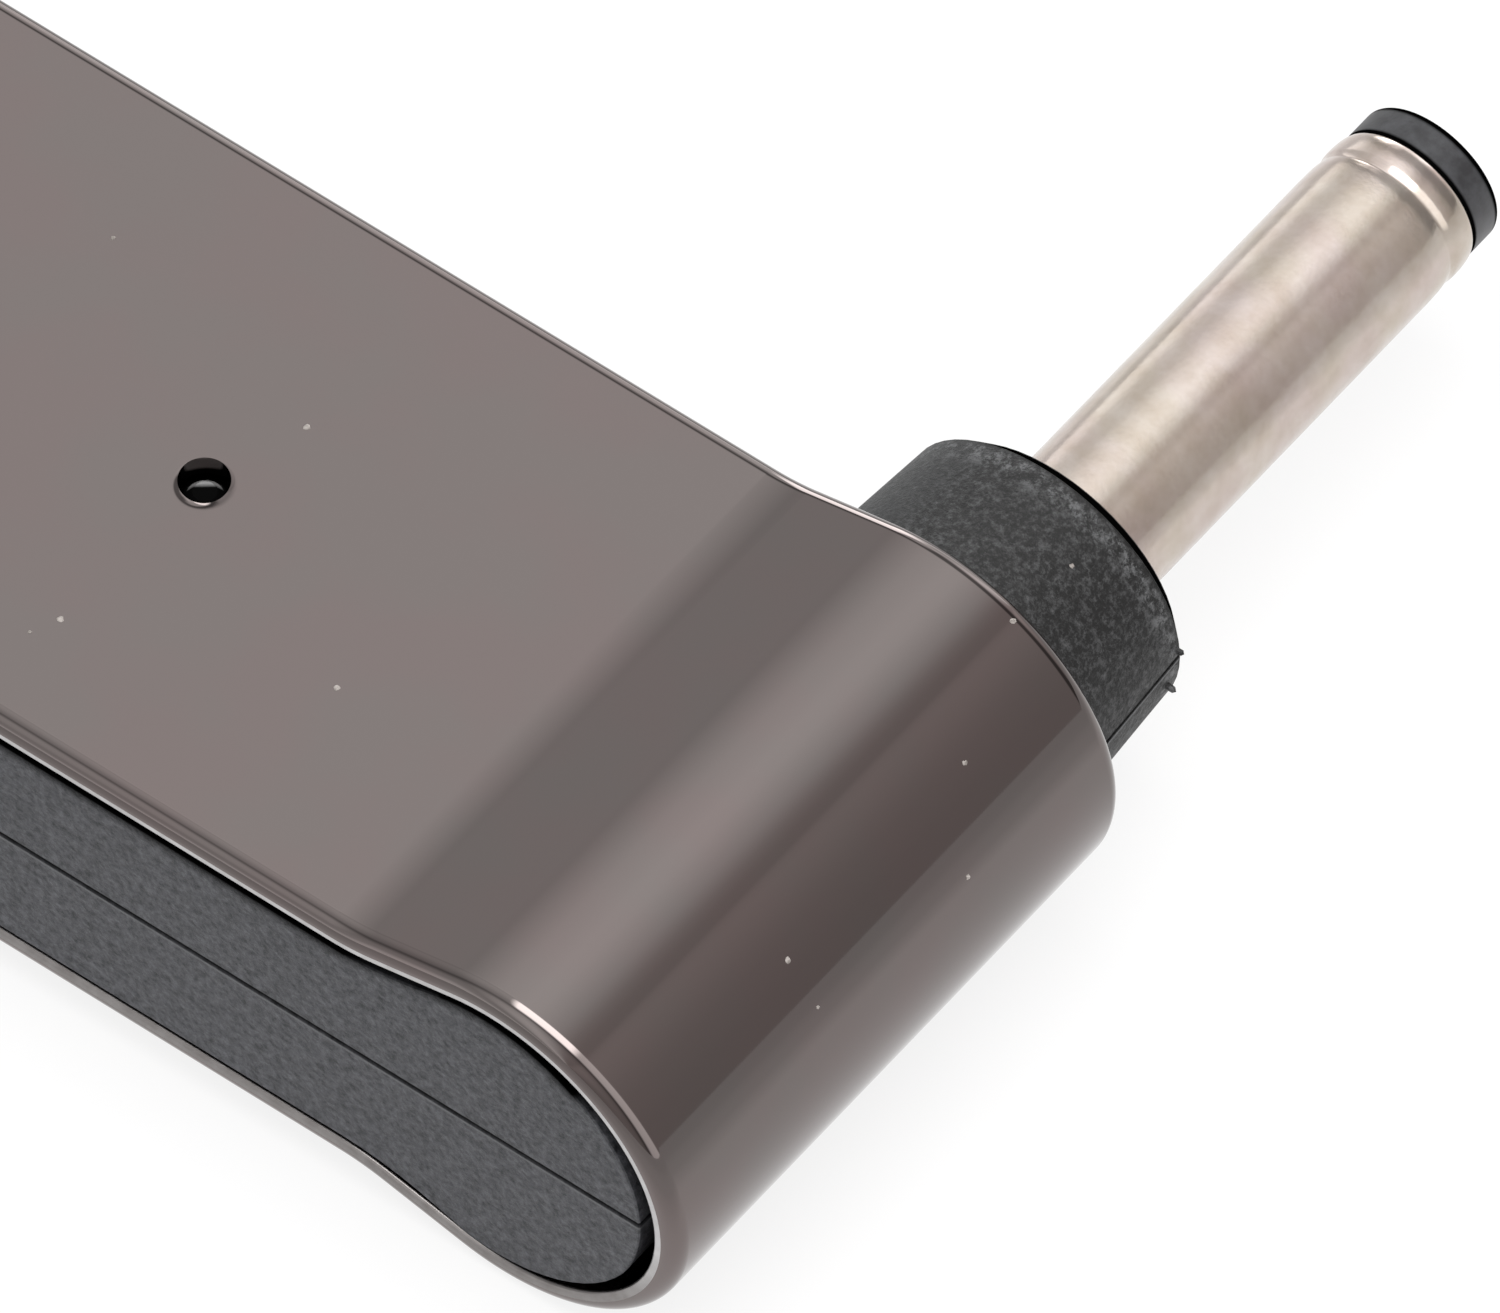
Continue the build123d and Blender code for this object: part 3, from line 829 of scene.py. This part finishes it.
def sleeve_metal():
    """Warm gunmetal plating, nearly mirror smooth."""
    shade = Shader("sleeve_metal")
    rosy = (0.1705, 0.1430, 0.1390, 1)
    neutral = (0.1665, 0.1455, 0.1405, 1)
    colour = shade.blend(shade.noise(0.35, detail=2.0), rosy, neutral, start=0.38, end=0.62)
    gloss = shade.blend(shade.noise(2.5), grey(0.05), grey(0.07), start=0.35, end=0.65)
    shade.set(Base_Color=colour, Metallic=1.0, Roughness=gloss)
    return shade.material


def cut_edge_with_highlight():
    """Bare metal where the sleeve's inner lip was cut after plating, brighter along the top as a painted
    highlight, with painted shade darkening it towards the underside.
    """
    shade = Shader("sleeve_cut_edge_with_highlight")
    _, _, z = shade.split(shade.place())
    tone = shade.noise(3.0)
    bare_with_highlight = shade.blend(tone, (0.44, 0.43, 0.43, 1), (0.54, 0.53, 0.53, 1), start=0.3, end=0.7)
    underside_shade = shade.blend(tone, (0.20, 0.185, 0.18, 1), (0.26, 0.245, 0.24, 1), start=0.3, end=0.7)
    # Painted shade: the lip goes from its bright painted highlight above to dull below
    colour = shade.mix(shade.share(z, *lip_shade_height), underside_shade, bare_with_highlight)
    shade.set(Base_Color=colour, Metallic=1.0, Roughness=0.3)
    return shade.material


def core_mottle(shade, x, y):
    """Mottled greys of the core's sides and of its collar, which is smoother on one side."""
    dark_side = (0.012, 0.013, 0.016, 1)
    pale_side = (0.080, 0.082, 0.092, 1)
    tone = shade.noise(4.5, detail=6.0, roughness=0.78)
    side = shade.blend(tone, dark_side, pale_side, start=0.36, end=0.64)
    tone = shade.noise(6.0, detail=5.0, roughness=0.8)
    collar = shade.blend(tone, grey(0.002), (0.070, 0.071, 0.073, 1), start=0.47, end=0.72)
    collar = shade.mix(shade.share(x, *collar_smooth_side), collar, (0.024, 0.025, 0.026, 1))
    return shade.mix(shade.share(y, *collar_foot), side, collar)


def core_dark_places(shade, x, y, z):
    """Share of black: painted shadow under the sleeve's lip and behind its rim, the core's dark seam, and
    the collar's front edge.
    """
    from_plug = shade.length(x, z)
    # Painted shadow under the sleeve's lip, on the core's side at its top and round end
    lip_shadow = shade.product(
        shade.share(shade.depth_in_body(core_drawn_back), *lip_shadow_depth),
        shade.share(z, *lip_shadow_height),
        shade.math("SUBTRACT", 1.0, shade.share(y, *collar_foot)),
    )
    # Painted shadow on the collar's foot, behind the sleeve's rim
    rim_shadow = shade.product(
        shade.share(y, *rim_shadow_rear),
        shade.share(y, *rim_shadow_front),
        shade.share(from_plug, *rim_shadow_radius),
    )
    seam = shade.product(shade.share(shade.math("ABSOLUTE", z), *seam_from_middle), seam_darkness)
    front_edge = shade.product(
        shade.share(y, *front_edge_y),
        shade.share(from_plug, *front_edge_radius),
    )
    return shade.largest(lip_shadow, rim_shadow, seam, front_edge)


def core_plastic():
    """Mottled dark plastic with painted shadow under the sleeve's lip and behind its rim, black in its
    seam and on the collar's front edge, worn beside it, and a painted highlight below the seam.
    """
    shade = Shader("core_plastic")
    x, y, z = shade.split(shade.place())
    spots = shade.share(shade.noise(4.0, detail=6.0, roughness=0.8), start=0.50, end=0.60)
    worn = shade.product(shade.share(y, *worn_band_rear), shade.share(y, *worn_band_front), spots)
    seam_highlight = shade.product(shade.share(z, *seam_highlight_low), shade.share(z, *seam_highlight_high))
    dark = core_dark_places(shade, x, y, z)
    colour = shade.mix(worn, core_mottle(shade, x, y), (0.10, 0.102, 0.105, 1))
    # Painted highlight: a lighter line just below the seam
    colour = shade.mix(seam_highlight, colour, (0.085, 0.087, 0.092, 1))
    # Painted shadow, the seam and the front edge go black and lose their reflection
    colour = shade.mix(dark, colour, grey(0.001))
    shine = shade.blend(dark, grey(0.4), grey(0.0))
    tone = shade.noise(10.0, detail=3.0, roughness=0.7)
    gloss = shade.blend(tone, grey(0.45), grey(0.65), start=0.3, end=0.7)
    shade.set(Base_Color=colour, Specular_IOR_Level=shine, Roughness=gloss)
    shade.bump(shade.noise(7.0, detail=4.0, roughness=0.75), strength=1.0, depth_mm=0.03)
    return shade.material


def plug_nickel():
    """Satin nickel plating, warm, clouded and finely pitted."""
    shade = Shader("plug_nickel")
    dark = (0.485, 0.418, 0.372, 1)
    light = (0.575, 0.515, 0.485, 1)
    rosy = (1.0, 0.97, 0.96, 1)
    yellowish = (1.0, 1.0, 0.94, 1)
    tone = shade.noise(1.2, detail=4.0, roughness=0.6)
    colour = shade.blend(tone, dark, light, start=0.32, end=0.68)
    cloud = shade.blend(shade.noise(0.5, detail=2.0), rosy, yellowish, start=0.4, end=0.6)
    clouded = shade.mix(1.0, colour, cloud, blend_type="MULTIPLY")
    tone = shade.noise(3.0, detail=4.0, roughness=0.7)
    gloss = shade.blend(tone, grey(0.12), grey(0.20), start=0.3, end=0.7)
    shade.set(Base_Color=clouded, Metallic=0.86, Roughness=gloss)
    shade.bump(shade.noise(7.0, detail=4.0, roughness=0.65), strength=1.0, depth_mm=0.003)
    return shade.material


def clear_plastic():
    """Clear light pipe, painted black for the shade down in its hole, with a painted crescent of light on
    the far half of its face.
    """
    shade = Shader("clear_plastic")
    x, y, _ = shade.split(shade.place())
    x = shade.math("SUBTRACT", x, light_hole_x / MM)
    y = shade.math("SUBTRACT", y, mid_y / MM)
    far_side = shade.math("MULTIPLY_ADD", y, crescent_y, shade.math("MULTIPLY", x, crescent_x))
    painted_crescent = shade.product(
        shade.share(far_side, *crescent_inner),
        shade.share(shade.length(y, x), *crescent_outer),
    )
    pale = shade.blend(shade.noise(5.0), grey(0.20), grey(0.26), start=0.3, end=0.7)
    # Painted light and shade: a pale crescent on black, with reflection only in the crescent
    colour = shade.mix(painted_crescent, grey(0.003), pale)
    shine = shade.blend(painted_crescent, grey(0.0), grey(0.3))
    shade.set(Base_Color=colour, Specular_IOR_Level=shine, Roughness=0.3)
    return shade.material


def tip_plastic():
    """Satin black plastic of the plug's tip, lighter on its lower side as painted light, and blacker on
    its rounded front edge and in its joint.
    """
    shade = Shader("insulator_plastic")
    _, y, z = shade.split(shade.place())
    dark_tone = (0.022, 0.022, 0.024, 1)
    light_tone = (0.044, 0.045, 0.049, 1)
    tone = shade.noise(3.0, detail=4.0, roughness=0.6)
    colour = shade.blend(tone, dark_tone, light_tone, start=0.35, end=0.65)
    # Painted light: the tip's lower side turns lighter grey
    colour = shade.mix(shade.share(z, *tip_lower_side_light), colour, (0.10, 0.10, 0.105, 1))
    dark = shade.largest(shade.share(y, *tip_front_edge), shade.share(y, *tip_joint))
    colour = shade.mix(dark, colour, grey(0.001))
    shine = shade.blend(dark, grey(0.4), grey(0.0))
    shade.set(Base_Color=colour, Specular_IOR_Level=shine, Roughness=0.45)
    shade.bump(shade.noise(14.0, detail=3.0, roughness=0.6), strength=0.4, depth_mm=0.01)
    return shade.material


def dust_grey():
    """Pale dust."""
    shade = Shader("dust_grey")
    dark = (0.20, 0.18, 0.165, 1)
    light = (0.36, 0.33, 0.31, 1)
    colour = shade.blend(shade.noise(9.0), dark, light, start=0.4, end=0.6)
    shade.set(Base_Color=colour, Roughness=0.8)
    return shade.material


def plain(name, dark, light, roughness, metallic):
    """Moulded, plated or laminated finish with a fine variation and grain."""
    shade = Shader(name)
    tone = shade.noise(6.0, detail=4.0, roughness=0.6)
    colour = shade.blend(tone, (*dark, 1), (*light, 1), start=0.3, end=0.7)
    shade.set(Base_Color=colour, Roughness=roughness, Metallic=metallic)
    shade.bump(shade.noise(12.0, detail=3.0, roughness=0.6), strength=0.4, depth_mm=0.01)
    return shade.material


MATERIALS = {
    "sleeve_metal": sleeve_metal(),
    "core_plastic": core_plastic(),
    "plug_nickel": plug_nickel(),
    "insulator_plastic": tip_plastic(),
    "clear_plastic": clear_plastic(),
}
MATERIALS.update({name: plain(name, *values) for name, values in PLAIN_FINISHES.items()})


def dress_nodes():
    """Give every carried-over solid the finish of its slot."""
    for piece in nodes.values():
        for holder in piece.material_slots:
            holder.material = MATERIALS[holder.material.name.split(".")[0]]


def floor_light_pool():
    """Matt white with a painted pool of light, greyer further out, that shows its plain colour to camera
    and reflections.
    """
    shade = Shader("floor_light_pool")
    middle = (*sheet_centre, -bulb_radius / MM)
    offset = shade.vector_math("SUBTRACT", shade.place(), middle)
    distance = shade.vector_math("LENGTH", offset, output="Value")
    # Painted pool of light: paleness falls with distance from the sheet's middle
    pool_paleness = shade.table(distance, 0, sheet_reach, SHEET_LIGHT_POOL)
    shade.set(Base_Color=pool_paleness, Roughness=0.8)
    path = shade.node("ShaderNodeLightPath").outputs
    seen = shade.largest(path["Is Camera Ray"], path["Is Glossy Ray"], path["Is Transmission Ray"])
    white = shade.node("ShaderNodeEmission", Color=pool_paleness)
    blend = shade.node("ShaderNodeMixShader", Fac=shade.product(seen, white_share))
    shade.feed(blend.inputs[1], shade.surface.outputs[0])
    shade.feed(blend.inputs[2], white.outputs[0])
    output = shade.tree.nodes["Material Output"]
    shade.feed(output.inputs["Surface"], blend.outputs[0])
    return shade.material


def make_floor():
    """White sheet that the body lies on."""
    half = floor_size / 2
    z = -bulb_radius
    corners = [(-half, -half, z), (half, -half, z), (half, half, z), (-half, half, z)]
    mesh = bpy.data.meshes.new("floor")
    mesh.from_pydata(corners, [], [(0, 1, 2, 3)])
    mesh.materials.append(floor_light_pool())
    floor = new_object("floor", mesh)


def make_studio():
    """World whose brightness changes softly round the plug's axis and along it."""
    world = bpy.data.worlds.new("studio")
    bpy.context.scene.world = world
    world.use_nodes = True
    sky = TreeBuilder(world.node_tree)
    x, y, z = sky.split(sky.node("ShaderNodeTexCoord").outputs["Generated"])
    angle = sky.math("ARCTAN2", x, z)

    def round_plug(stops):
        turns = [(radians(turn), value) for turn, value in stops]
        return sky.table(angle, -pi, pi, turns)

    def patch(stops, stops_along):
        return sky.vector_math("MULTIPLY", round_plug(stops), sky.table(y, -1, 1, stops_along))

    overhead = patch(LAMP, LAMP_ALONG_PLUG)
    lamps = sky.vector_math("ADD", overhead, patch(SIDE_LAMP, SIDE_LAMP_ALONG_PLUG))
    walls = sky.vector_math("MULTIPLY", patch(STUDIO, STUDIO_ALONG_PLUG), round_plug(TINT))
    background = sky.tree.nodes["Background"]
    sky.feed(background.inputs["Color"], sky.vector_math("ADD", walls, lamps))
    sky.feed(background.inputs["Strength"], studio_strength)


def camera_frame():
    """The camera's right, up and back directions, and its place."""
    azimuth, elevation, roll = camera_azimuth, camera_elevation, camera_roll
    back = Vector((sin(azimuth) * cos(elevation), -cos(azimuth) * cos(elevation), sin(elevation)))
    level = Vector((cos(azimuth), sin(azimuth), 0))
    rise = back.cross(level)
    right = level * cos(roll) + rise * sin(roll)
    up = rise * cos(roll) - level * sin(roll)
    across = (photo_width / 2 - origin_pixel[0]) / pixels_per_mm * MM
    upward = (origin_pixel[1] - photo_height / 2) / pixels_per_mm * MM
    target = Vector((0, mid_y, 0)) + right * across + up * upward
    return right, up, back, target + back * (focal_pixels / pixels_per_mm * MM)


def make_camera():
    """Camera at the photograph's viewing angle, a long way off with a long lens."""
    right, up, back, place = camera_frame()
    data = bpy.data.cameras.new("camera")
    data.sensor_fit = "HORIZONTAL"
    data.sensor_width = sensor_width
    data.lens = focal_pixels * sensor_width / photo_width
    camera = new_object("camera", data)
    camera.location = place
    camera.rotation_mode = "QUATERNION"
    turned = [(right[i], up[i], back[i]) for i in range(3)]
    camera.rotation_quaternion = Matrix(turned).to_quaternion()
    bpy.context.scene.camera = camera


def surface_at(u, v):
    """Whether the photograph shows the part at a pixel, and the surface's place and normal there."""
    right, up, back, place = camera_frame()
    across = (u - photo_width / 2) / focal_pixels
    upward = (photo_height / 2 - v) / focal_pixels
    direction = (right * across + up * upward - back).normalized()
    graph = bpy.context.evaluated_depsgraph_get()
    hit, point, normal, *_ = bpy.context.scene.ray_cast(graph, place, direction)
    return hit, point, normal


def fleck(work, point, normal, radius, height, chance):
    """Small uneven lump that sits on a surface, sunk a little into it."""
    side = normal.orthogonal().normalized()
    other = normal.cross(side)
    base = []
    shoulder = []
    for i in range(fleck_sides):
        turn = 2 * pi * i / fleck_sides
        reach = radius * chance.uniform(*fleck_reach)
        spoke = side * cos(turn) + other * sin(turn)
        base.append(work.verts.new(point + spoke * reach - normal * height * fleck_base_depth))
        lift = normal * height * fleck_shoulder_height
        shoulder.append(work.verts.new(point + spoke * reach * fleck_shoulder_reach + lift))
    top = work.verts.new(point + normal * height)
    for i in range(fleck_sides):
        k = (i + 1) % fleck_sides
        work.faces.new((base[i], base[k], shoulder[k], shoulder[i]))
        work.faces.new((shoulder[i], shoulder[k], top))
    work.faces.new(list(reversed(base)))


def make_flecks(name, places, height, material, slot):
    """One piece of small flecks, each at a pixel of the photograph: (u, v, radius in mm)."""
    chance = random.Random(name)
    work = bmesh.new()
    for u, v, radius in places:
        hit, point, normal = surface_at(u, v)
        if hit:
            fleck(work, point, normal, radius * MM, height * MM, chance)
    piece = closed_object(name, work)
    piece.data.materials.append(material)
    smooth_by_angle(piece, fleck_crease)
    add_to_part(piece, slot)


dress_nodes()
make_sleeve()
make_barrel()
make_insulator()
make_core_half("core_upper", "upper_half")
make_core_half("core_lower", "lower_half")
make_camera()
make_flecks("dust", DUST, dust_height, dust_grey(), "led_body")
make_flecks("moulding_flash", FLASH, flash_height, MATERIALS["core_plastic"], "core_plastic")
make_floor()
make_studio()

scene = bpy.context.scene
scene.view_settings.view_transform = "Standard"

bpy.context.view_layer.update()
